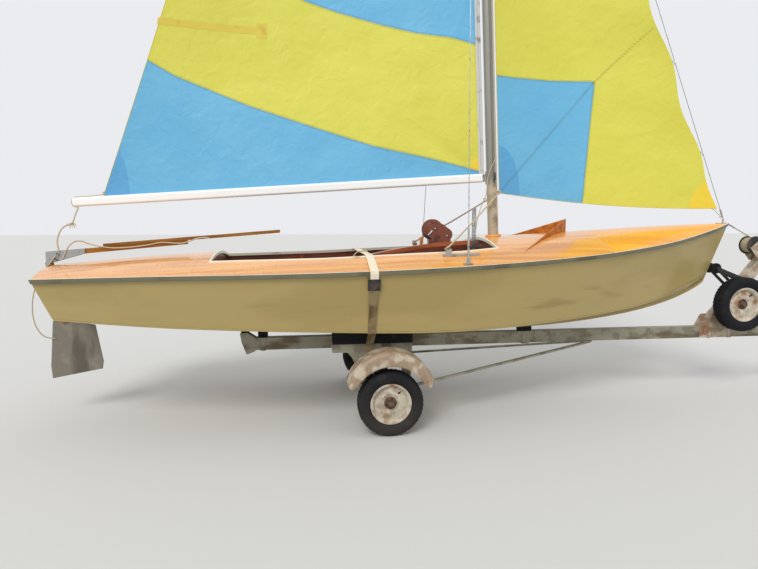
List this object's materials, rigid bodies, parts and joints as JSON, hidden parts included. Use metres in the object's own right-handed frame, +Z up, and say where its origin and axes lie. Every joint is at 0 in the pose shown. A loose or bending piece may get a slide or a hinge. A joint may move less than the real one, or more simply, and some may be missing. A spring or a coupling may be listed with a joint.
{
  "type": "sailing dinghy on a road trailer",
  "caption": "Plywood sailing dinghy with sails set, hard chines, varnished decks and a lifting rudder, parked on a single-axle tube trailer with winch, spare wheel and jack.",
  "frame": {"origin": "On the ground, at the middle of the whole object's length and width.", "axes": "+X forward to the bow and the coupling, +Y to port, +Z up."},
  "size_m": [6.012, 1.5314, 7.9018],
  "materials": {
    "hull_paint": "gloss cream paint on plywood",
    "deck_varnish": "amber gloss varnish on plywood",
    "interior_varnish": "dark red-brown varnish",
    "tiller_varnish": "worn varnish",
    "white_trim": "white gloss paint",
    "spar_alloy": "brushed anodised alloy",
    "stainless": "stainless fittings and wire",
    "blade_plate": "dull grey plate",
    "winch_brown": "maroon-brown moulded housing",
    "main_cloth": "yellow and blue sailcloth",
    "jib_cloth": "yellow and blue sailcloth",
    "tie_webbing": "woven webbing",
    "rope": "laid rope",
    "galvanised": "galvanised steel, dull",
    "trailer_paint": "off-white paint with rust",
    "black_steel": "black paint",
    "black_rubber": "worn black rubber",
    "tyre": "dusty road tyre"
  },
  "bodies": {
    "boat_and_trailer": {"aft_deck": "deck_varnish", "axle": "galvanised", "board_winch": "winch_brown", "bottom_planking": "hull_paint", "bow_stop": "black_rubber", "bow_stop_arms": "black_steel", "carlins": "interior_varnish", "centreboard": "spar_alloy", "centreboard_trunk": "interior_varnish", "cockpit_trim": "white_trim", "coupler": "black_steel", "deck_beams": "interior_varnish", "fenders": "trailer_paint", "floorboards": "interior_varnish", "foredeck": "deck_varnish", "hull_fittings": "stainless", "hull_frames": "interior_varnish", "hull_pads": "black_rubber", "jack_body": "galvanised", "jib": "jib_cloth", "jib_tracks": "spar_alloy", "keel_batten": "hull_paint", "keel_brackets": "galvanised", "keel_roller": "black_rubber", "leaf_springs": "galvanised", "main_deck": "deck_varnish", "main_tube": "galvanised", "mast": "spar_alloy", "mast_collar": "deck_varnish", "perforated_post": "stainless", "rub_rails": "white_trim", "side_planking_port": "hull_paint", "side_planking_starboard": "hull_paint", "spare_rim": "trailer_paint", "spare_tyre": "tyre", "splash_board": "deck_varnish", "stays": "stainless", "stem": "hull_paint", "subframe": "galvanised", "tie_down_strap": "tie_webbing", "transom": "hull_paint", "trunk_cap": "deck_varnish", "winch_hook": "black_steel", "winch_line": "rope", "winch_reel": "black_steel", "winch_stand": "trailer_paint"},
    "boom_and_mainsail": {"boom": "spar_alloy", "boom_end_fitting": "spar_alloy", "mainsail": "main_cloth"},
    "rudder_and_tiller": {"rudder_stock": "tiller_varnish", "rudder_irons": "stainless", "tiller": "tiller_varnish", "tiller_extension": "tiller_varnish"},
    "lifting_blade": {"rudder_blade": "blade_plate"},
    "left_wheel": {"rim_left": "trailer_paint", "tyre_left": "tyre"},
    "right_wheel": {"rim_right": "trailer_paint", "tyre_right": "tyre"},
    "jack_slide": {"jack_leg": "galvanised"}
  },
  "joints": [
    {"name": "left_wheel_spin", "type": "hinge", "parent": "boat_and_trailer", "child": "left_wheel", "pos_m": [-0.77, 0.65, 0.2055], "axis": [0, 1, 0], "continuous": true},
    {"name": "right_wheel_spin", "type": "hinge", "parent": "boat_and_trailer", "child": "right_wheel", "pos_m": [-0.77, -0.65, 0.2055], "axis": [0, 1, 0], "continuous": true},
    {"name": "rudder_turn", "type": "hinge", "parent": "boat_and_trailer", "child": "rudder_and_tiller", "pos_m": [-2.80487, 0, 0.69517], "axis": [-0.3714, 0, 0.9285], "range_deg": [-35, 35]},
    {"name": "blade_lift", "type": "hinge", "parent": "rudder_and_tiller", "child": "lifting_blade", "pos_m": [-2.87915, 0, 0.69239], "axis": [0, 1, 0], "range_deg": [0, 75]},
    {"name": "boom_swing", "type": "hinge", "parent": "boat_and_trailer", "child": "boom_and_mainsail", "pos_m": [0.01119, 0, 1.639], "axis": [-0.0471, 0, 0.9989], "range_deg": [-55, 55]},
    {"name": "jack_travel", "type": "slide", "parent": "boat_and_trailer", "child": "jack_slide", "axis": [0, 0, 1], "range_m": [0, 0.19]}
  ]
}
